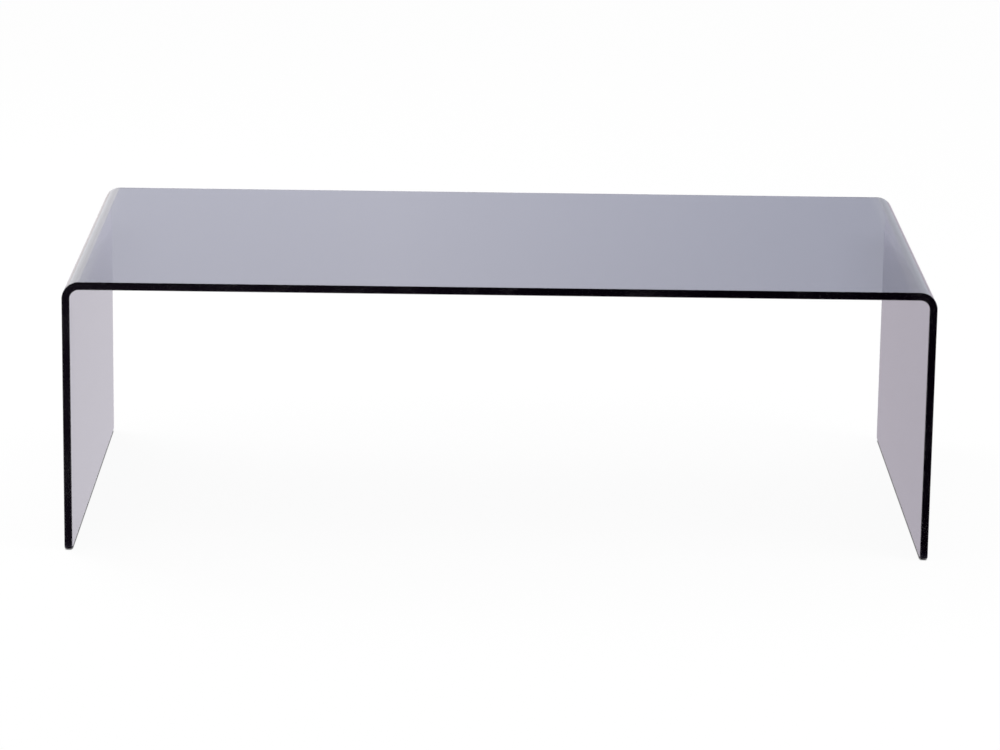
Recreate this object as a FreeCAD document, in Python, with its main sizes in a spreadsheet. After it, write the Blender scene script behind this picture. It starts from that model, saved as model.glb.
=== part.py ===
# Waterfall coffee table: one sheet of smoked glass, bent down at both ends to make its own legs.
# Millimetres, +Z up. The origin is on the floor under the middle of the table, X runs along its length
# and the front faces -Y. The legs stand on four clear bumpers, each held to the glass by an adhesive disc.
import FreeCAD, Part
import math
import os
import Sketcher

doc = FreeCAD.newDocument("WaterfallTable")

# Driving dimensions: alias, value in millimetres, what it is.
dimensions = [
    ("tableLength", 1100, "over the outer faces of the two legs"),
    ("tableDepth", 600, "front edge to rear edge of the glass"),
    ("tableHeight", 350, "floor to the upper face of the top"),
    ("glassThickness", 10, "float glass, the same all the way through the bends"),
    ("bendRadius", 12, "inner face of each bend"),
    ("cornerRadius", 3, "rounded corners of the sheet, at the feet"),
    ("arrisWidth", 1, "ground bevel along every edge of the sheet"),
    ("padDiameter", 8, "bumper under a leg, no wider than the flat of the glass edge"),
    ("padHeight", 1.7, "floor to the upper face of the bumper"),
    ("padRounding", 1.2, "rounded lower rim of the bumper"),
    ("padSetback", 10, "front or rear edge of the glass to the middle of the bumper"),
    ("adhesiveDiameter", 7.4, "die-cut film disc, a little inside the rim of the bumper"),
    ("adhesiveThickness", 0.3, "film between bumper and glass"),
]

sheet = doc.addObject("Spreadsheet::Sheet", "Dimensions")
for row, (alias, value, meaning) in enumerate(dimensions, start=1):
    sheet.set(f"A{row}", meaning)
    sheet.set(f"B{row}", str(value))
    sheet.setAlias(f"B{row}", alias)
doc.recompute()


def newSketch(body, name, role):
    """A sketch on the body's own origin plane of that role."""
    sketch = body.newObject("Sketcher::SketchObject", name)
    plane = next(plane for plane in body.Origin.OriginFeatures if plane.Role == role)
    sketch.AttachmentSupport = (plane, [""])
    sketch.MapMode = "FlatFace"
    return sketch


def addSize(sketch, name, expression, kind, *where):
    """Adds a dimension to the sketch and ties it to the spreadsheet."""
    drawn = 1
    sketch.renameConstraint(sketch.addConstraint(Sketcher.Constraint(kind, *where, drawn)), name)
    sketch.setExpression(f"Constraints.{name}", expression)


def edgeNames(shape, wanted):
    """The names, such as Edge7, of the edges that a feature is to work on."""
    return [f"Edge{number}" for number, edge in enumerate(shape.Edges, start=1) if wanted(edge)]


# ---- glass sheet: a bent blank, then its corners, then its ground edges ----

glass = doc.addObject("PartDesign::Body", "GlassSheet")
glass.Label = "glass_sheet"

endX = sheet.tableLength / 2
innerX = endX - sheet.glassThickness
topZ = sheet.tableHeight
underZ = topZ - sheet.glassThickness
footZ = sheet.padHeight + sheet.adhesiveThickness
outerRadius = sheet.bendRadius + sheet.glassThickness
bendX = endX - outerRadius
bendZ = topZ - outerRadius


def line(x1, z1, x2, z2):
    return Part.LineSegment(FreeCAD.Vector(x1, z1, 0), FreeCAD.Vector(x2, z2, 0))


def quarter(x, radius, startAngle):
    """A quarter turn about the middle of a bend, counter-clockwise."""
    circle = Part.Circle(FreeCAD.Vector(x, bendZ, 0), FreeCAD.Vector(0, 0, 1), radius)
    return Part.ArcOfCircle(circle, math.radians(startAngle), math.radians(startAngle + 90))


# The section across the front, run by run: over the outer face from right to left, back along the inner face.
outline = {
    "rightLegOuter": line(endX, footZ, endX, bendZ),
    "rightBendOuter": quarter(bendX, outerRadius, 0),
    "topUpper": line(bendX, topZ, -bendX, topZ),
    "leftBendOuter": quarter(-bendX, outerRadius, 90),
    "leftLegOuter": line(-endX, bendZ, -endX, footZ),
    "leftFoot": line(-endX, footZ, -innerX, footZ),
    "leftLegInner": line(-innerX, footZ, -innerX, bendZ),
    "leftBendInner": quarter(-bendX, sheet.bendRadius, 90),
    "topUnder": line(-bendX, underZ, bendX, underZ),
    "rightBendInner": quarter(bendX, sheet.bendRadius, 0),
    "rightLegInner": line(innerX, bendZ, innerX, footZ),
    "rightFoot": line(innerX, footZ, endX, footZ),
}
section = newSketch(glass, "BentSection", "XZ_Plane")
run = {name: section.addGeometry(curve) for name, curve in outline.items()}

START, END, MIDDLE = 1, 2, 3
X_AXIS, Z_AXIS = -1, -2
# An arc always turns counter-clockwise, so the outline passes the two inner ones from their end to their start.
backwards = ("leftBendInner", "rightBendInner")

names = list(outline)
for name, following in zip(names, names[1:] + names[:1]):
    leaves = START if name in backwards else END
    enters = END if following in backwards else START
    joint = "Tangent" if "Bend" in name + following else "Coincident"
    section.addConstraint(Sketcher.Constraint(joint, run[name], leaves, run[following], enters))
    if "Leg" in name:
        section.addConstraint(Sketcher.Constraint("Vertical", run[name]))
    elif "Bend" not in name:
        section.addConstraint(Sketcher.Constraint("Horizontal", run[name]))

# Each bend turns both faces about one centre, which keeps the glass at one thickness.
for side in ("left", "right"):
    inner, outer = run[f"{side}BendInner"], run[f"{side}BendOuter"]
    section.addConstraint(Sketcher.Constraint("Coincident", inner, MIDDLE, outer, MIDDLE))
section.addConstraint(Sketcher.Constraint("Equal", run["leftBendOuter"], run["rightBendOuter"]))
leftEnd, rightEnd = (run["leftLegOuter"], END), (run["rightLegOuter"], START)
section.addConstraint(Sketcher.Constraint("Symmetric", *leftEnd, *rightEnd, Z_AXIS))

footHeight = "Dimensions.padHeight + Dimensions.adhesiveThickness"
addSize(section, "length", "Dimensions.tableLength", "DistanceX", *leftEnd, *rightEnd)
addSize(section, "height", "Dimensions.tableHeight", "DistanceY", X_AXIS, START, run["topUpper"], START)
addSize(section, "foot", footHeight, "DistanceY", X_AXIS, START, *rightEnd)
addSize(section, "thickness", "Dimensions.glassThickness", "DistanceX", run["leftFoot"], START, run["leftFoot"], END)
addSize(section, "bend", "Dimensions.bendRadius", "Radius", run["leftBendInner"])

blank = glass.newObject("PartDesign::Pad", "BentBlank")
blank.Profile = section
blank.SideType = "Symmetric"
blank.setExpression("Length", "Dimensions.tableDepth")
doc.recompute()


def isFootCorner(edge):
    """One of the four short edges through the glass, where a foot meets the front or the rear."""
    box = edge.BoundBox
    return box.YLength < 1e-6 and box.ZLength < 1e-6 and abs(box.ZMin - footZ) < 1e-6


corners = glass.newObject("PartDesign::Fillet", "SafetyCorners")
corners.Base = (blank, edgeNames(blank.Shape, isFootCorner))
corners.setExpression("Radius", "Dimensions.cornerRadius")
doc.recompute()


def isSharp(edge):
    """An edge where two faces meet at an angle, not one where a flat runs smoothly into a bend."""
    middle = edge.valueAt((edge.FirstParameter + edge.LastParameter) / 2)
    normals = [face.normalAt(*face.Surface.parameter(middle))
               for face in corners.Shape.ancestorsOfType(edge, Part.Face)]
    return normals[0].getAngle(normals[1]) > math.radians(5)


arris = glass.newObject("PartDesign::Chamfer", "GroundArris")
arris.Base = (corners, edgeNames(corners.Shape, isSharp))
arris.setExpression("Size", "Dimensions.arrisWidth")

# ---- feet: a bumper and its adhesive disc, one pair at each end of each leg ----

subparts = [glass]
legMiddle = "(Dimensions.tableLength - Dimensions.glassThickness) / 2"
padMiddle = "(Dimensions.tableDepth / 2 - Dimensions.padSetback)"


def footPad(place):
    """A moulded bumper: a short round slug with its lower rim rounded off, standing on the floor."""
    pad = doc.addObject("PartDesign::Body", f"FootPad_{place}")
    pad.Label = f"foot_pad_{place}"
    rim = newSketch(pad, f"PadRim_{place}", "XY_Plane")
    circle = rim.addGeometry(Part.Circle(FreeCAD.Vector(0, 0, 0), FreeCAD.Vector(0, 0, 1), sheet.padDiameter / 2))
    rim.addConstraint(Sketcher.Constraint("Coincident", circle, MIDDLE, X_AXIS, START))
    addSize(rim, "diameter", "Dimensions.padDiameter", "Diameter", circle)
    slug = pad.newObject("PartDesign::Pad", f"PadSlug_{place}")
    slug.Profile = rim
    slug.setExpression("Length", "Dimensions.padHeight")
    doc.recompute()
    rounding = pad.newObject("PartDesign::Fillet", f"PadRounding_{place}")
    rounding.Base = (slug, edgeNames(slug.Shape, lambda edge: edge.BoundBox.ZMax < 1e-6))
    rounding.setExpression("Radius", "Dimensions.padRounding")
    return pad


def adhesiveDisc(place):
    disc = doc.addObject("Part::Cylinder", f"AdhesiveDisc_{place}")
    disc.Label = f"adhesive_disc_{place}"
    disc.setExpression("Radius", "Dimensions.adhesiveDiameter / 2")
    disc.setExpression("Height", "Dimensions.adhesiveThickness")
    disc.setExpression("Placement.Base.z", "Dimensions.padHeight")
    return disc


for depthName, depthSign in (("front", -1), ("rear", 1)):
    for sideName, sideSign in (("left", -1), ("right", 1)):
        for make in (footPad, adhesiveDisc):
            foot = make(f"{depthName}_{sideName}")
            foot.setExpression("Placement.Base.x", f"{sideSign} * {legMiddle}")
            foot.setExpression("Placement.Base.y", f"{depthSign} * {padMiddle}")
            subparts.append(foot)

doc.recompute()

# ---- check and write ----

for item in doc.Objects:
    if {"Invalid", "Error"} & set(item.State):
        raise RuntimeError(f"{item.Label} did not build: {item.State}")
for subpart in subparts:
    if subpart.Shape.isNull() or not subpart.Shape.isValid() or len(subpart.Shape.Solids) != 1:
        raise RuntimeError(f"{subpart.Label} is not one valid solid")

os.makedirs("parts", exist_ok=True)
for subpart in subparts:
    subpart.Shape.exportStep(os.path.join("parts", f"{subpart.Label}.step"))
    box = subpart.Shape.BoundBox
    print(f"{subpart.Label}: {box.XLength:.1f} x {box.YLength:.1f} x {box.ZLength:.1f} mm from z {box.ZMin:.1f}")
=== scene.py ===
import math

import bmesh
import bpy
from mathutils import Matrix, Vector


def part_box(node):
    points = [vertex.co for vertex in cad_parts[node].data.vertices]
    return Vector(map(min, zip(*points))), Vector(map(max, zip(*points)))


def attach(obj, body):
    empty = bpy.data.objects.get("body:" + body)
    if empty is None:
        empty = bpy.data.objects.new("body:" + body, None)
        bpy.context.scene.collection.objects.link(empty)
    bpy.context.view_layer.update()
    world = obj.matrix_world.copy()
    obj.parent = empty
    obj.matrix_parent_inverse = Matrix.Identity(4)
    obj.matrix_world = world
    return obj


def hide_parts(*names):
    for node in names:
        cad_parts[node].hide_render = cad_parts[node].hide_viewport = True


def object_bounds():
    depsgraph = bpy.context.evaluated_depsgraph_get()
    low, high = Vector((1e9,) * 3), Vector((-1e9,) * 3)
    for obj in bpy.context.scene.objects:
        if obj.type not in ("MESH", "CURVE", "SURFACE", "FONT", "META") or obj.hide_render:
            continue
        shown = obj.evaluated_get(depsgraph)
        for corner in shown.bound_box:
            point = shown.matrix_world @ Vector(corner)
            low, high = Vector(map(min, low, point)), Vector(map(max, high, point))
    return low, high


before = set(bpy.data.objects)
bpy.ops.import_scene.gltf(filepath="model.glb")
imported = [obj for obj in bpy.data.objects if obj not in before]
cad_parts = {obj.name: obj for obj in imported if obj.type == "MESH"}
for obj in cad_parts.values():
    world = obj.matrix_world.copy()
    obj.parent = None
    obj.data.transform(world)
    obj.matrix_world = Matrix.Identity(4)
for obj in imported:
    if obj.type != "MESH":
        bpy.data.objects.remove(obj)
cadLow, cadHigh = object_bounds()
mm = 0.001
tolerance = 0.001 * mm  # for edges that are found by their place
print("frame loaded:", len(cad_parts), "nodes")


# an sRGB hex colour as the linear values that a node takes
def linear(hexColour):
    channels = [int(hexColour[i:i + 2], 16) / 255 for i in (1, 3, 5)]
    return tuple(c / 12.92 if c <= 0.04045 else ((c + 0.055) / 1.055) ** 2.4 for c in channels) + (1.0,)


# adds a node; values are keyed by the input's place, name or identifier, and a socket as a value is linked
def addNode(tree, kind, values=None, **settings):
    node = tree.nodes.new(kind)
    for name, value in settings.items():
        setattr(node, name, value)
    known = {socket.identifier: socket for socket in node.inputs}
    for key, value in (values or {}).items():
        socket = known[key] if key in known else node.inputs[key]
        if isinstance(value, bpy.types.NodeSocket):
            tree.links.new(value, socket)
        else:
            socket.default_value = value
    return node


def newTree(owner):
    owner.use_nodes = True
    owner.node_tree.nodes.clear()
    return owner.node_tree


def finishPiece(bm, name, material):
    mesh = bpy.data.meshes.new(name)
    bm.to_mesh(mesh)
    bm.free()
    mesh.materials.append(material)
    piece = bpy.data.objects.new(name, mesh)
    bpy.context.scene.collection.objects.link(piece)
    return piece


# with their edges and corners, so that no old face stays behind inside an extruded solid
def whole(faces):
    return faces + [e for f in faces for e in f.edges] + [v for f in faces for v in f.verts]


def facesIn(geometry):
    return [item for item in geometry if isinstance(item, bmesh.types.BMFace)]


# draws the faces out by a step and gives back those that lead
def lead(bm, faces, step):
    made = bmesh.ops.extrude_face_region(bm, geom=whole(faces))["geom"]
    bmesh.ops.translate(bm, vec=step, verts=[v for v in made if isinstance(v, bmesh.types.BMVert)])
    return facesIn(made)


def bevel(bm, edges, offset, segments):
    bmesh.ops.bevel(
        bm, geom=edges, offset=offset, segments=segments, profile=0.5, affect="EDGES", material=-1,
    )


# One sheet bent on a mould: its section starts at the left foot and is led up, across and down again.
glassSheet = {
    "thickness": 10 * mm,
    "bendRadius": 12 * mm,  # inner face
    "bendSteps": 32,
    "cornerRadius": 3 * mm,
    "cornerSteps": 8,
    "arris": 1 * mm,
    "absorbedPerMetre": (102.5, 103.7, 91.7),  # red, green, blue
    "ior": 1.52,
    "smearLength": 90 * mm,  # left by a cloth
    "smearWidth": 22 * mm,
    "smearTurn": 0.35,  # radians, of the noise itself
    "smearOnset": (0.48, 0.8),  # of the noise, where smears begin and where they are full
    "smearRoughness": 0.045,
    "waveLength": 140 * mm,  # left by the mould
    "waveHeight": 0.03 * mm,
    "bendEase": 14 * mm,  # the faces start to lean this far before a bend
    "bendEaseDrop": 0.47 * mm,
    "wheelLineSpacing": 1.1 * mm,  # really 0.2 mm: drawn as coarse as shows in a render of the whole table
    "wheelLineHeight": 0.004 * mm,
    "edgeRoughness": (0.06, 0.14),  # polished, and where the polish is worn
    "wornPatch": 35 * mm,
    "wornOnset": (0.4, 0.65),
    "footRoughness": 0.6,  # ground only
}
glassLow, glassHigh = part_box("glass_sheet")
outerRadius = glassSheet["bendRadius"] + glassSheet["thickness"]


# Grey float glass, tinted through its body: fire-polished faces that mirror sharply and darken with depth,
# with the faintest smears and waves, and edges ground and polished by a wheel whose lines run along them.
# Under the feet the grinding is left unpolished.
def makeSmokedGlass():
    material = bpy.data.materials.new("greyFloatGlass")
    tree = newTree(material)
    place = addNode(tree, "ShaderNodeTexCoord").outputs["Object"]
    ground = addNode(tree, "ShaderNodeAttribute", attribute_name="groundEdge").outputs["Fac"]
    foot = addNode(tree, "ShaderNodeAttribute", attribute_name="unpolishedFoot").outputs["Fac"]

    acrossSmear = 1 / glassSheet["smearWidth"]
    wiped = addNode(tree, "ShaderNodeMapping", {
        "Vector": place,
        "Rotation": (0, 0, glassSheet["smearTurn"]),
        "Scale": (1 / glassSheet["smearLength"], acrossSmear, acrossSmear),
    })
    smears = addNode(tree, "ShaderNodeTexNoise", {
        "Vector": wiped.outputs[0],
        "Scale": 1,
        "Detail": 5,
        "Roughness": 0.6,
        "Distortion": 0.6,
    })
    begun, full = glassSheet["smearOnset"]
    faceRoughness = addNode(tree, "ShaderNodeMapRange", {
        "Value": smears.outputs["Fac"],
        "From Min": begun,
        "From Max": full,
        "To Min": 0,
        "To Max": glassSheet["smearRoughness"],
    })
    patches = addNode(tree, "ShaderNodeTexNoise", {
        "Vector": place,
        "Scale": 1 / glassSheet["wornPatch"],
        "Detail": 4,
    })
    begun, full = glassSheet["wornOnset"]
    polished, worn = glassSheet["edgeRoughness"]
    edgeRoughness = addNode(tree, "ShaderNodeMapRange", {
        "Value": patches.outputs["Fac"],
        "From Min": begun,
        "From Max": full,
        "To Min": polished,
        "To Max": worn,
    })
    polish = addNode(tree, "ShaderNodeMix", {
        "Factor": ground,
        "A": faceRoughness.outputs[0],
        "B": edgeRoughness.outputs[0],
    })
    roughness = addNode(tree, "ShaderNodeMix", {
        "Factor": foot,
        "A": polish.outputs[0],
        "B": glassSheet["footRoughness"],
    })

    # how deep a point lies through the thickness, the same along the legs, the bends and the top
    bendStart = (glassHigh.x - outerRadius, 0, glassHigh.z - outerRadius)
    folded = addNode(tree, "ShaderNodeVectorMath", {0: place}, operation="ABSOLUTE")
    past = addNode(tree, "ShaderNodeVectorMath", {0: folded.outputs[0], 1: bendStart}, operation="SUBTRACT")
    bent = addNode(tree, "ShaderNodeVectorMath", {0: past.outputs[0], 1: (0, 0, 0)}, operation="MAXIMUM")
    section = addNode(tree, "ShaderNodeVectorMath", {0: bent.outputs[0], 1: (1, 0, 1)}, operation="MULTIPLY")
    length = addNode(tree, "ShaderNodeVectorMath", {0: section.outputs[0]}, operation="LENGTH")
    depth = length.outputs["Value"]

    lines = addNode(tree, "ShaderNodeTexNoise", {
        "W": depth,
        "Detail": 3,
        "Scale": 1 / glassSheet["wheelLineSpacing"],
    }, noise_dimensions="1D")
    lineRelief = addNode(tree, "ShaderNodeMath", {
        0: lines.outputs["Fac"],
        1: glassSheet["wheelLineHeight"],
    }, operation="MULTIPLY")
    waves = addNode(tree, "ShaderNodeTexNoise", {
        "Vector": place,
        "Scale": 1 / glassSheet["waveLength"],
        "Detail": 0,
    })
    waveRelief = addNode(tree, "ShaderNodeMath", {
        0: waves.outputs["Fac"],
        1: glassSheet["waveHeight"],
    }, operation="MULTIPLY")

    # hot glass eases into a bend: both faces lean towards it together, by a degree or two
    easing = addNode(tree, "ShaderNodeMapRange", {
        "Vector": past.outputs[0],
        "From_Min_FLOAT3": (-glassSheet["bendEase"],) * 3,
        "From_Max_FLOAT3": (glassSheet["bendEase"],) * 3,
    }, data_type="FLOAT_VECTOR", interpolation_type="SMOOTHSTEP")
    fallen = addNode(tree, "ShaderNodeVectorMath", {
        0: easing.outputs["Vector"],
        1: (glassSheet["bendEaseDrop"], 0, glassSheet["bendEaseDrop"]),
    }, operation="DOT_PRODUCT")
    outside = addNode(tree, "ShaderNodeMapRange", {
        "Value": depth,
        "From Min": outerRadius,
        "From Max": glassSheet["bendRadius"],
        "To Min": -1,
        "To Max": 1,
    })
    # a bump turns over for rays that meet the face from within the glass
    within = addNode(tree, "ShaderNodeNewGeometry").outputs["Backfacing"]
    facing = addNode(tree, "ShaderNodeMapRange", {"Value": within, "To Min": 1, "To Max": -1})
    lean = addNode(tree, "ShaderNodeMath", {
        0: outside.outputs[0],
        1: facing.outputs[0],
    }, operation="MULTIPLY")
    faceRelief = addNode(tree, "ShaderNodeMath", {
        0: fallen.outputs["Value"],
        1: lean.outputs[0],
        2: waveRelief.outputs[0],
    }, operation="MULTIPLY_ADD")
    relief = addNode(tree, "ShaderNodeMix", {
        "Factor": ground,
        "A": faceRelief.outputs[0],
        "B": lineRelief.outputs[0],
    })
    bump = addNode(tree, "ShaderNodeBump", {"Height": relief.outputs[0], "Distance": 1.0})

    surface = addNode(tree, "ShaderNodeBsdfPrincipled", {
        "Base Color": linear("#ffffff"),
        "Roughness": roughness.outputs[0],
        "Normal": bump.outputs[0],
        "IOR": glassSheet["ior"],
        "Transmission Weight": 1.0,
    })
    most = max(glassSheet["absorbedPerMetre"])
    nearlyAll = 0.999  # keeps the colour above 0 where the most is absorbed
    kept = tuple(1 - absorbed / most * nearlyAll for absorbed in glassSheet["absorbedPerMetre"]) + (1.0,)
    inside = addNode(tree, "ShaderNodeVolumeAbsorption", {"Color": kept, "Density": most})
    addNode(tree, "ShaderNodeOutputMaterial", {"Surface": surface.outputs[0], "Volume": inside.outputs[0]})
    return material


def makeGlassSheet(material):
    low, high = glassLow, glassHigh
    thick = glassSheet["thickness"]
    bm = bmesh.new()
    bmesh.ops.create_grid(bm, x_segments=1, y_segments=1, size=0.5)
    bmesh.ops.scale(bm, vec=(thick, high.y - low.y, 1), verts=bm.verts)
    bmesh.ops.translate(bm, vec=(low.x + thick / 2, 0, low.z), verts=bm.verts)

    def bend(faces, centreX):
        made = bmesh.ops.spin(
            bm, geom=whole(faces), cent=(centreX, 0, high.z - outerRadius), axis=(0, 1, 0), dvec=(0, 0, 0),
            angle=math.radians(90), steps=glassSheet["bendSteps"], use_merge=False, use_duplicate=False,
        )
        return facesIn(made["geom_last"])

    leading = lead(bm, list(bm.faces), (0, 0, high.z - outerRadius - low.z))
    leading = bend(leading, low.x + outerRadius)
    leading = lead(bm, leading, (high.x - low.x - 2 * outerRadius, 0, 0))
    leading = bend(leading, high.x - outerRadius)
    lead(bm, leading, (0, 0, low.z - high.z + outerRadius))
    bmesh.ops.recalc_face_normals(bm, faces=bm.faces)

    def isFootCorner(edge):
        first, last = (v.co for v in edge.verts)
        return abs(first.y - last.y) < tolerance and max(first.z, last.z) < low.z + tolerance

    cornerEdges = [e for e in bm.edges if isFootCorner(e)]
    bevel(bm, cornerEdges, glassSheet["cornerRadius"], glassSheet["cornerSteps"])
    rimAngle = math.radians(60)
    bevel(bm, [e for e in bm.edges if e.calc_face_angle(0) > rimAngle], glassSheet["arris"], 1)

    # what the wheel has ground: the rims and their bevels, all round, found by parts of a face's normal
    sideways = 0.9  # beyond it a face is the side of a leg
    frontOrRear = 0.5
    down = 0.6
    ground = bm.faces.layers.float.new("groundEdge")
    unpolished = bm.faces.layers.float.new("unpolishedFoot")
    for face in bm.faces:
        isLow = face.calc_center_median().z < low.z + glassSheet["cornerRadius"]
        atFoot = isLow and abs(face.normal.x) < sideways
        face[ground] = float(abs(face.normal.y) > frontOrRear or atFoot)
        face[unpolished] = float(atFoot and face.normal.z < -down)
        face.smooth = True
    print("glass sheet:", len(bm.faces), "faces", round(bm.calc_volume() * 1e6, 2), "cm3",
          "open edges", sum(not e.is_manifold for e in bm.edges),
          "ground faces", sum(f[ground] > 0.5 for f in bm.faces))
    piece = finishPiece(bm, "glassSheet", material)
    piece.data.set_sharp_from_angle(angle=math.radians(30))
    weighted = piece.modifiers.new("flatFacesLead", "WEIGHTED_NORMAL")
    weighted.keep_sharp = True
    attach(piece, "root")
    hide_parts("glass_sheet")


makeGlassSheet(makeSmokedGlass())

bumper = {
    "sides": 64,
    "rounding": 1.2 * mm,  # lower rim
    "roundingSteps": 8,
    "upperRim": 0.15 * mm,
    "upperRimSteps": 2,
    "colour": "#eef0ee",
    "ior": 1.5,
    "clearness": 0.85,
    "roughness": (0.16, 0.34),  # satin, and matt
    "mattOnset": (0.35, 0.65),  # of the grain, where satin ends and where it is matt
    "mouldGrain": 0.6 * mm,  # really 0.05 mm: drawn as coarse as shows in a close view of a foot
    "mouldRelief": 0.01 * mm,
}


# Clear polyurethane, moulded: soft to the eye, a little milky, with satin highlights that its fine grain
# breaks up.
def makeClearPolyurethane():
    material = bpy.data.materials.new("mouldedClearPolyurethane")
    tree = newTree(material)
    place = addNode(tree, "ShaderNodeTexCoord").outputs["Object"]
    grain = addNode(tree, "ShaderNodeTexNoise", {
        "Vector": place,
        "Scale": 1 / bumper["mouldGrain"],
        "Detail": 4,
    })
    satinEnd, mattStart = bumper["mattOnset"]
    satin, matt = bumper["roughness"]
    roughness = addNode(tree, "ShaderNodeMapRange", {
        "Value": grain.outputs["Fac"],
        "From Min": satinEnd,
        "From Max": mattStart,
        "To Min": satin,
        "To Max": matt,
    })
    bump = addNode(tree, "ShaderNodeBump", {
        "Height": grain.outputs["Fac"],
        "Distance": bumper["mouldRelief"],
    })
    surface = addNode(tree, "ShaderNodeBsdfPrincipled", {
        "Base Color": linear(bumper["colour"]),
        "Roughness": roughness.outputs[0],
        "Normal": bump.outputs[0],
        "IOR": bumper["ior"],
        "Transmission Weight": bumper["clearness"],
    })
    addNode(tree, "ShaderNodeOutputMaterial", {"Surface": surface.outputs[0]})
    return material


def makeBumper(place, material):
    low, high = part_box(f"foot_pad_{place}")
    bm = bmesh.new()
    bmesh.ops.create_circle(bm, cap_ends=True, segments=bumper["sides"], radius=(high.x - low.x) / 2)
    bmesh.ops.translate(bm, vec=((low.x + high.x) / 2, (low.y + high.y) / 2, low.z), verts=bm.verts)
    lead(bm, list(bm.faces), (0, 0, high.z - low.z))
    bmesh.ops.recalc_face_normals(bm, faces=bm.faces)
    lowerRim = (low.z, bumper["rounding"], bumper["roundingSteps"])
    upperRim = (high.z, bumper["upperRim"], bumper["upperRimSteps"])
    for level, offset, steps in (lowerRim, upperRim):
        rim = [e for e in bm.edges if all(abs(v.co.z - level) < tolerance for v in e.verts)]
        bevel(bm, rim, offset, steps)
    for face in bm.faces:
        face.smooth = True
    piece = finishPiece(bm, f"bumper_{place}", material)
    piece.data.set_sharp_from_angle(angle=math.radians(40))
    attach(piece, "root")
    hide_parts(f"foot_pad_{place}")


adhesiveFilm = {
    "colour": "#f1f2ee",
    "ior": 1.47,
    "clearness": 0.8,
    "roughness": (0.12, 0.4),  # where it wets the glass, and over a bubble
    "bubbleSpacing": 0.7 * mm,
    "bubbleRim": (0.15, 0.3),  # of the spacing, out from its middle
    "bubbleHeight": 0.02 * mm,
}


# Clear acrylic film, die-cut: glossy where it wets the glass, with small bubbles left under it all over.
def makeAcrylicFilm():
    material = bpy.data.materials.new("dieCutAcrylicFilm")
    tree = newTree(material)
    place = addNode(tree, "ShaderNodeTexCoord").outputs["Object"]
    bubbles = addNode(tree, "ShaderNodeTexVoronoi", {
        "Vector": place,
        "Scale": 1 / adhesiveFilm["bubbleSpacing"],
    }).outputs["Distance"]
    rimStart, rimEnd = adhesiveFilm["bubbleRim"]
    wetted, lifted = adhesiveFilm["roughness"]
    roughness = addNode(tree, "ShaderNodeMapRange", {
        "Value": bubbles,
        "From Min": rimStart,
        "From Max": rimEnd,
        "To Min": lifted,
        "To Max": wetted,
    })
    bump = addNode(tree, "ShaderNodeBump", {"Height": bubbles, "Distance": adhesiveFilm["bubbleHeight"]})
    surface = addNode(tree, "ShaderNodeBsdfPrincipled", {
        "Base Color": linear(adhesiveFilm["colour"]),
        "Roughness": roughness.outputs[0],
        "Normal": bump.outputs[0],
        "IOR": adhesiveFilm["ior"],
        "Transmission Weight": adhesiveFilm["clearness"],
    })
    addNode(tree, "ShaderNodeOutputMaterial", {"Surface": surface.outputs[0]})
    return material


polyurethane = makeClearPolyurethane()
acrylicFilm = makeAcrylicFilm()
for corner in ("front_left", "front_right", "rear_left", "rear_right"):
    makeBumper(corner, polyurethane)
    for slot in bpy.data.objects[f"adhesive_disc_{corner}"].material_slots:
        slot.material = acrylicFilm
print("feet made")

# The floor and the sky are plain white to the eye and through the glass, but for the painted shade at the
# feet, and the light from them is white. Only rays that the glass mirrors find the tones, strips and glows
# below: painted light and shade, which light nothing.
light = {
    "white": "#ffffff",
    "warmth": "#fff8d2",  # of the glow far behind on the floor, and of the side lights
    "lampShare": 0.3,  # the sky gives the rest, 0.7; the lamps really give 0.38, see makeLamp
}


# A share from a point's X and Y: each goes softly from its value at the near limit to its value at the far
# one, and the two are multiplied.
def softShare(tree, point, near, far, atNear, atFar):
    eased = addNode(tree, "ShaderNodeMapRange", {
        "Vector": point,
        "From_Min_FLOAT3": (*near, 0),
        "From_Max_FLOAT3": (*far, 1),
        "To_Min_FLOAT3": (*atNear, 0),
        "To_Max_FLOAT3": (*atFar, 0),
    }, data_type="FLOAT_VECTOR", interpolation_type="SMOOTHSTEP")
    parts = addNode(tree, "ShaderNodeSeparateXYZ", {0: eased.outputs["Vector"]}).outputs
    return addNode(tree, "ShaderNodeMath", {0: parts["X"], 1: parts["Y"]}, operation="MULTIPLY").outputs[0]


# Sorts the rays by how they came. One that has gone through glass counts as both glossy and transmitted.
def byRay(tree, seen, mirrored, lighting):
    path = addNode(tree, "ShaderNodeLightPath").outputs
    notThrough = addNode(tree, "ShaderNodeMath", {
        0: 1.0,
        1: path["Is Transmission Ray"],
    }, operation="SUBTRACT")
    isMirrored = addNode(tree, "ShaderNodeMath", {
        0: path["Is Glossy Ray"],
        1: notThrough.outputs[0],
    }, operation="MULTIPLY")
    looking = addNode(tree, "ShaderNodeMixShader", {0: isMirrored.outputs[0], 1: seen, 2: mirrored})
    everyRay = addNode(tree, "ShaderNodeMixShader", {
        0: path["Is Diffuse Ray"],
        1: looking.outputs[0],
        2: lighting,
    })
    return everyRay.outputs[0]


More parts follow.
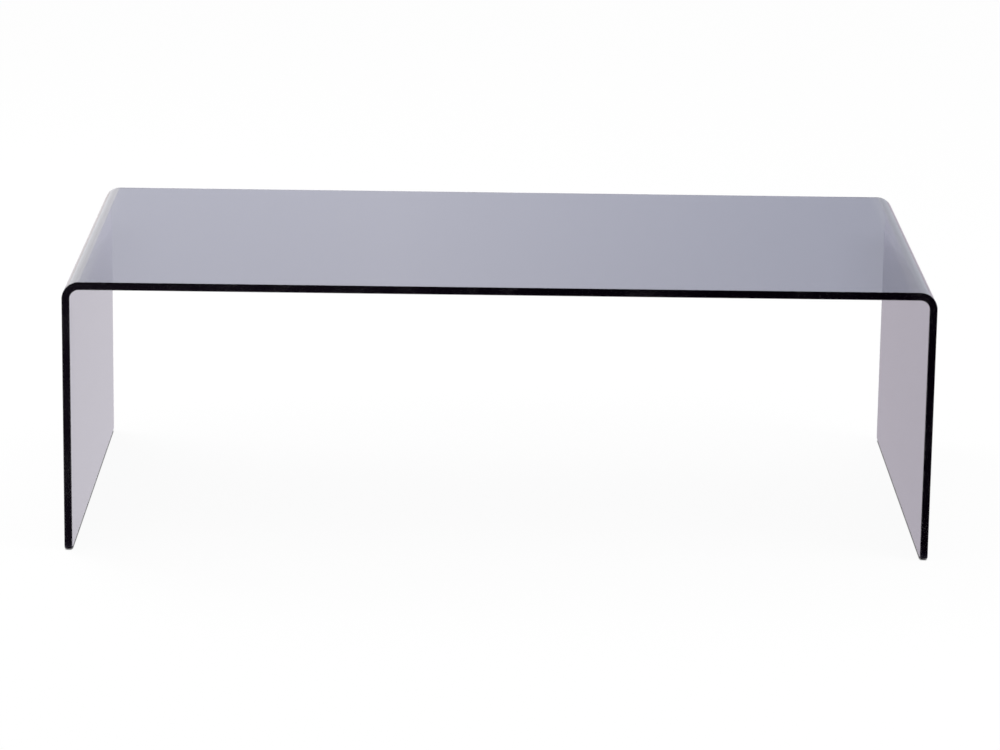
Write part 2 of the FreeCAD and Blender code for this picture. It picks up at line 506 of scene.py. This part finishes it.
# Places are from the middle of the table, unless a note names another start.
studioFloor = {
    "halfSize": 12,
    "paint": "#f3f3f3",
    "paintShare": 0.07,  # how much of the paint's own shading shows in the white
    "whiteStrength": 1.01,
    "contactReach": 3 * mm,
    "contactOnset": (0.3, 0.85),  # of the openness to the air: fully dark, and not dark
    "contactShade": 0.05,
    "contactSamples": 12,
    "gapShade": 0.2,
    "gapCore": (4.5 * mm, 284 * mm),  # half the width and length of the shade under a leg
    "gapRim": (5.7 * mm, 296 * mm),  # the same with its soft rim
    "tone": ("#ece8f1", "#d4cdd8"),  # left, right: painted light, lighter on the left where the light comes from and darker on the right
    "toneSpan": (-0.5, 0.5),
    "farGlow": (0.2, 0),  # left, right
    "farGlowSpan": (1.4, 2.6),  # behind, where it starts and where it is full
    "behindStrength": (1.9, 2.3),  # left, right: brighter behind the table
    "behindNear": (0.55, 1.15),  # half the width that is fully bright, and where it starts to brighten
    "behindFar": (0.8, 1.7),  # half the width with its soft rim, and where it is fully bright
    "behindSkew": 0.15,  # starts this much farther back on the right
    "stripShade": ("#5c4d68", "#2e183c"),  # left, right: dark strips for the front edges to mirror
    "stripShadeSpan": (-0.5, 0.2),
    "stripStart": 20 * mm,  # behind the front edge of the table
    "stripEnd": 2.1,  # ahead of it
    "legStripSplay": 0.108,  # outwards for each metre ahead
    "legStripHalfWidth": 6 * mm,
    "legStripWidening": 0.07,  # for each metre ahead
    "topStrip": 1.6,  # its middle, ahead of the front edge
    "topStripHalfDepth": 0.45,
    "topStripHalfWidth": 0.85,
}
legMiddle = cadHigh[0] - glassSheet["thickness"] / 2


# white, with soft shading, dark round the bumpers and in the gap under each leg
def makeSeenFloor(tree, apart, beside, paint):
    fromLeg = addNode(tree, "ShaderNodeMath", {0: beside, 1: legMiddle}, operation="SUBTRACT")
    fromMiddle = addNode(tree, "ShaderNodeCombineXYZ", {"X": fromLeg.outputs[0], "Y": apart["Y"]})
    off = addNode(tree, "ShaderNodeVectorMath", {0: fromMiddle.outputs[0]}, operation="ABSOLUTE")
    underLeg = softShare(tree, off.outputs[0], studioFloor["gapCore"], studioFloor["gapRim"], (1, 1), (0, 0))
    unshaded = addNode(tree, "ShaderNodeMapRange", {
        "Value": underLeg,
        "To Min": studioFloor["whiteStrength"],
        "To Max": studioFloor["gapShade"],
    })
    contact = addNode(tree, "ShaderNodeAmbientOcclusion", {
        "Distance": studioFloor["contactReach"],
    }, samples=studioFloor["contactSamples"])
    closed, opened = studioFloor["contactOnset"]
    strength = addNode(tree, "ShaderNodeMapRange", {
        "Value": contact.outputs["AO"],
        "From Min": closed,
        "From Max": opened,
        "To Min": studioFloor["contactShade"],
        "To Max": unshaded.outputs[0],
    }, interpolation_type="SMOOTHSTEP")
    white = addNode(tree, "ShaderNodeEmission", {
        "Color": linear(light["white"]),
        "Strength": strength.outputs[0],
    })
    seen = addNode(tree, "ShaderNodeMixShader", {
        0: studioFloor["paintShare"],
        1: white.outputs[0],
        2: paint,
    })
    return seen.outputs[0]


# where the strips lie: one splays out from each leg, and one crosses the front for the top
def makeStrips(tree, apart, beside):
    ahead = addNode(tree, "ShaderNodeMath", {0: cadLow[1], 1: apart["Y"]}, operation="SUBTRACT").outputs[0]
    legLine = addNode(tree, "ShaderNodeMath", {
        0: ahead,
        1: studioFloor["legStripSplay"],
        2: legMiddle,
    }, operation="MULTIPLY_ADD")
    legWidth = addNode(tree, "ShaderNodeMath", {
        0: ahead,
        1: studioFloor["legStripWidening"],
        2: studioFloor["legStripHalfWidth"],
    }, operation="MULTIPLY_ADD")
    legStrip = addNode(tree, "ShaderNodeMath", {
        0: beside,
        1: legLine.outputs[0],
        2: legWidth.outputs[0],
    }, operation="COMPARE")
    topDepth = addNode(tree, "ShaderNodeMath", {
        0: ahead,
        1: studioFloor["topStrip"],
        2: studioFloor["topStripHalfDepth"],
    }, operation="COMPARE")
    topWidth = addNode(tree, "ShaderNodeMath", {
        0: beside,
        1: studioFloor["topStripHalfWidth"],
    }, operation="LESS_THAN")
    topStrip = addNode(tree, "ShaderNodeMath", {
        0: topDepth.outputs[0],
        1: topWidth.outputs[0],
    }, operation="MULTIPLY")
    strips = addNode(tree, "ShaderNodeMath", {
        0: legStrip.outputs[0],
        1: topStrip.outputs[0],
    }, operation="MAXIMUM")
    inFront = addNode(tree, "ShaderNodeMath", {
        0: ahead,
        1: (studioFloor["stripEnd"] - studioFloor["stripStart"]) / 2,
        2: (studioFloor["stripEnd"] + studioFloor["stripStart"]) / 2,
    }, operation="COMPARE")
    dark = addNode(tree, "ShaderNodeMath", {
        0: strips.outputs[0],
        1: inFront.outputs[0],
    }, operation="MULTIPLY")
    return dark.outputs[0]


# the floor as the glass mirrors it, painted with light and shade: a tone lighter on the left, dark strips in
# front, brighter behind the table and a warm glow far behind
def makeMirroredFloor(tree, apart, beside):
    leftEnd, rightEnd = studioFloor["toneSpan"]
    across = addNode(tree, "ShaderNodeMapRange", {
        "Value": apart["X"],
        "From Min": leftEnd,
        "From Max": rightEnd,
    }, interpolation_type="SMOOTHSTEP").outputs[0]
    leftTone, rightTone = studioFloor["tone"]
    tone = addNode(tree, "ShaderNodeMix", {
        "Factor": across,
        "A_Color": linear(leftTone),
        "B_Color": linear(rightTone),
    }, data_type="RGBA")
    leftEnd, rightEnd = studioFloor["stripShadeSpan"]
    acrossFront = addNode(tree, "ShaderNodeMapRange", {
        "Value": apart["X"],
        "From Min": leftEnd,
        "From Max": rightEnd,
    }, interpolation_type="SMOOTHSTEP")
    leftShade, rightShade = studioFloor["stripShade"]
    shade = addNode(tree, "ShaderNodeMix", {
        "Factor": acrossFront.outputs[0],
        "A_Color": linear(leftShade),
        "B_Color": linear(rightShade),
    }, data_type="RGBA")
    shaded = addNode(tree, "ShaderNodeMix", {
        "Factor": makeStrips(tree, apart, beside),
        "A_Color": tone.outputs[2],
        "B_Color": shade.outputs[2],
    }, data_type="RGBA")

    back = addNode(tree, "ShaderNodeMath", {
        0: across,
        1: -studioFloor["behindSkew"],
        2: apart["Y"],
    }, operation="MULTIPLY_ADD")
    onFloor = addNode(tree, "ShaderNodeCombineXYZ", {"X": beside, "Y": back.outputs[0]})
    near, far = studioFloor["behindNear"], studioFloor["behindFar"]
    behind = softShare(tree, onFloor.outputs[0], near, far, (1, 0), (0, 1))
    leftBehind, rightBehind = studioFloor["behindStrength"]
    brightest = addNode(tree, "ShaderNodeMapRange", {
        "Value": across,
        "To Min": leftBehind,
        "To Max": rightBehind,
    })
    strength = addNode(tree, "ShaderNodeMapRange", {
        "Value": behind,
        "To Min": 1.0,
        "To Max": brightest.outputs[0],
    })
    toned = addNode(tree, "ShaderNodeEmission", {
        "Color": shaded.outputs[2],
        "Strength": strength.outputs[0],
    })

    leftGlow, rightGlow = studioFloor["farGlow"]
    level = addNode(tree, "ShaderNodeMapRange", {"Value": across, "To Min": leftGlow, "To Max": rightGlow})
    glowStart, glowEnd = studioFloor["farGlowSpan"]
    farther = addNode(tree, "ShaderNodeMapRange", {
        "Value": apart["Y"],
        "From Min": glowStart,
        "From Max": glowEnd,
        "To Min": 0,
        "To Max": level.outputs[0],
    }, interpolation_type="SMOOTHSTEP")
    glow = addNode(tree, "ShaderNodeEmission", {
        "Color": linear(light["warmth"]),
        "Strength": farther.outputs[0],
    })
    return addNode(tree, "ShaderNodeAddShader", {0: toned.outputs[0], 1: glow.outputs[0]}).outputs[0]


# Matt white paint on a studio floor, lit so evenly that the eye finds no grain in it.
def makeFloor():
    bm = bmesh.new()
    bmesh.ops.create_grid(bm, x_segments=1, y_segments=1, size=studioFloor["halfSize"])
    material = bpy.data.materials.new("paintedStudioFloor")
    tree = newTree(material)
    place = addNode(tree, "ShaderNodeTexCoord").outputs["Object"]
    apart = addNode(tree, "ShaderNodeSeparateXYZ", {0: place}).outputs
    beside = addNode(tree, "ShaderNodeMath", {0: apart["X"]}, operation="ABSOLUTE").outputs[0]
    paint = addNode(tree, "ShaderNodeBsdfDiffuse", {"Color": linear(studioFloor["paint"])}).outputs[0]
    seen = makeSeenFloor(tree, apart, beside, paint)
    mirrored = makeMirroredFloor(tree, apart, beside)
    addNode(tree, "ShaderNodeOutputMaterial", {"Surface": byRay(tree, seen, mirrored, paint)})
    finishPiece(bm, "studioFloor", material)


# Places in the sky are parts of a direction: across, and up.
studioSky = {
    "tone": ("#edefff", "#e4e9ff"),  # left, right
    "strength": (1.13, 0.825),  # left, right
    "toneSpan": (-0.02, 0.1),
    "endDimming": (0.955, 0.885),  # left, right: a little dimmer over the two ends of the table
    "endMiddle": 0.0055,
    "endNear": (0.08, 0.205),  # outwards from that middle and up, where it starts to dim
    "endFar": (0.0945, 0.2105),  # and where it is dimmed
    "ceiling": 0.08,  # strength, dark overhead
    "ceilingSpan": (0.3, 0.8),
    "sideLight": (0.25, 0.12),  # the middle of the right one; the left one is its mirror image
    "sideLightCore": (0.12, 0.13),  # half its width and height
    "sideLightRim": (0.16, 0.2),  # the same with its soft rim
    "sideLightGlow": (0.35, 0.19),  # left, right
}


# the sky's strength as it is mirrored, without the side lights
def makeSkyStrength(tree, apart, across):
    leftStrength, rightStrength = studioSky["strength"]
    leftDim, rightDim = studioSky["endDimming"]
    plain = addNode(tree, "ShaderNodeMapRange", {
        "Value": across,
        "To Min": leftStrength,
        "To Max": rightStrength,
    })
    dimmed = addNode(tree, "ShaderNodeMapRange", {
        "Value": across,
        "To Min": leftStrength * leftDim,
        "To Max": rightStrength * rightDim,
    })
    offMiddle = addNode(tree, "ShaderNodeMath", {
        0: apart["X"],
        1: studioSky["endMiddle"],
    }, operation="SUBTRACT")
    endwards = addNode(tree, "ShaderNodeMath", {0: offMiddle.outputs[0]}, operation="ABSOLUTE")
    overTable = addNode(tree, "ShaderNodeCombineXYZ", {"X": endwards.outputs[0], "Y": apart["Z"]})
    near, far = studioSky["endNear"], studioSky["endFar"]
    overEnds = softShare(tree, overTable.outputs[0], near, far, (0, 0), (1, 1))
    lowSky = addNode(tree, "ShaderNodeMapRange", {
        "Value": overEnds,
        "To Min": plain.outputs[0],
        "To Max": dimmed.outputs[0],
    })
    ceilingStart, ceilingFull = studioSky["ceilingSpan"]
    return addNode(tree, "ShaderNodeMapRange", {
        "Value": apart["Z"],
        "From Min": ceilingStart,
        "From Max": ceilingFull,
        "To Min": lowSky.outputs[0],
        "To Max": studioSky["ceiling"],
    }).outputs[0]


# soft-edged rectangles low at each side, brighter on the left
def makeSideLights(tree, apart, across):
    aside = addNode(tree, "ShaderNodeMath", {0: apart["X"]}, operation="ABSOLUTE")
    folded = addNode(tree, "ShaderNodeCombineXYZ", {"X": aside.outputs[0], "Y": apart["Z"]})
    fromMiddle = addNode(tree, "ShaderNodeVectorMath", {
        0: folded.outputs[0],
        1: (*studioSky["sideLight"], 0),
    }, operation="SUBTRACT")
    off = addNode(tree, "ShaderNodeVectorMath", {0: fromMiddle.outputs[0]}, operation="ABSOLUTE")
    core, rim = studioSky["sideLightCore"], studioSky["sideLightRim"]
    inside = softShare(tree, off.outputs[0], core, rim, (1, 1), (0, 0))
    leftGlow, rightGlow = studioSky["sideLightGlow"]
    level = addNode(tree, "ShaderNodeMapRange", {"Value": across, "To Min": leftGlow, "To Max": rightGlow})
    strength = addNode(tree, "ShaderNodeMath", {0: inside, 1: level.outputs[0]}, operation="MULTIPLY")
    return addNode(tree, "ShaderNodeBackground", {
        "Color": linear(light["warmth"]),
        "Strength": strength.outputs[0],
    }).outputs[0]


def makeSky():
    world = bpy.data.worlds.new("softStudio")
    bpy.context.scene.world = world
    tree = newTree(world)
    place = addNode(tree, "ShaderNodeTexCoord").outputs["Generated"]
    apart = addNode(tree, "ShaderNodeSeparateXYZ", {0: place}).outputs
    leftEnd, rightEnd = studioSky["toneSpan"]
    across = addNode(tree, "ShaderNodeMapRange", {
        "Value": apart["X"],
        "From Min": leftEnd,
        "From Max": rightEnd,
    }).outputs[0]
    leftTone, rightTone = studioSky["tone"]
    tone = addNode(tree, "ShaderNodeMix", {
        "Factor": across,
        "A_Color": linear(leftTone),
        "B_Color": linear(rightTone),
    }, data_type="RGBA")
    toned = addNode(tree, "ShaderNodeBackground", {
        "Color": tone.outputs[2],
        "Strength": makeSkyStrength(tree, apart, across),
    })
    mirrored = addNode(tree, "ShaderNodeAddShader", {
        0: toned.outputs[0],
        1: makeSideLights(tree, apart, across),
    })
    white = linear(light["white"])
    seen = addNode(tree, "ShaderNodeBackground", {"Color": white, "Strength": 1.0})
    lighting = addNode(tree, "ShaderNodeBackground", {"Color": white, "Strength": 1 - light["lampShare"]})
    surface = byRay(tree, seen.outputs[0], mirrored.outputs[0], lighting.outputs[0])
    addNode(tree, "ShaderNodeOutputWorld", {"Surface": surface})


# Shares are parts of what the two lamps give together.
softboxes = {
    "softboxLeft": {"place": (-1.6, 1.2, 2.2), "size": (1.6, 1.2), "share": 0.65},
    "softboxRight": {"place": (1.9, -0.8, 2.4), "size": (1.2, 1.2), "share": 0.35},
}


# The power allows twice for how slantwise the light falls, so on the floor under the table each lamp gives
# about a quarter more than its share.
def makeLamp(name, place, size, share):
    lamp = bpy.data.lights.new(name, "AREA")
    lamp.shape = "RECTANGLE"
    lamp.size, lamp.size_y = size
    holder = bpy.data.objects.new(name, lamp)
    bpy.context.scene.collection.objects.link(holder)
    holder.location = place
    holder.rotation_euler = Vector(place).to_track_quat("Z", "Y").to_euler()  # aimed at the origin
    holder.visible_camera = False
    holder.visible_glossy = False
    holder.visible_transmission = False
    distance = math.hypot(*place)
    lean = place[2] / distance
    lamp.energy = share * math.pi ** 2 * distance ** 2 / lean ** 2


# Angles are in degrees.
viewpoint = {
    "lens": 147.65,
    "place": (-0.0295, -5.3148, 1.4912),
    "pitch": 14.039,  # downwards
    "yaw": -0.354,
    "roll": 0.807,
    "farLimit": 60,
}


def makeCamera():
    lens = bpy.data.cameras.new("camera")
    lens.lens = viewpoint["lens"]
    lens.clip_end = viewpoint["farLimit"]
    camera = bpy.data.objects.new("camera", lens)
    bpy.context.scene.collection.objects.link(camera)
    yaw = Matrix.Rotation(math.radians(viewpoint["yaw"]), 4, "Z")
    pitch = Matrix.Rotation(math.radians(90 - viewpoint["pitch"]), 4, "X")
    roll = Matrix.Rotation(math.radians(viewpoint["roll"]), 4, "Z")
    camera.matrix_world = Matrix.Translation(viewpoint["place"]) @ yaw @ pitch @ roll
    bpy.context.scene.camera = camera


makeFloor()
makeSky()
for name, box in softboxes.items():
    makeLamp(name, box["place"], box["size"], light["lampShare"] * box["share"])
makeCamera()
bpy.context.scene.view_settings.view_transform = "Standard"
print("studio made")
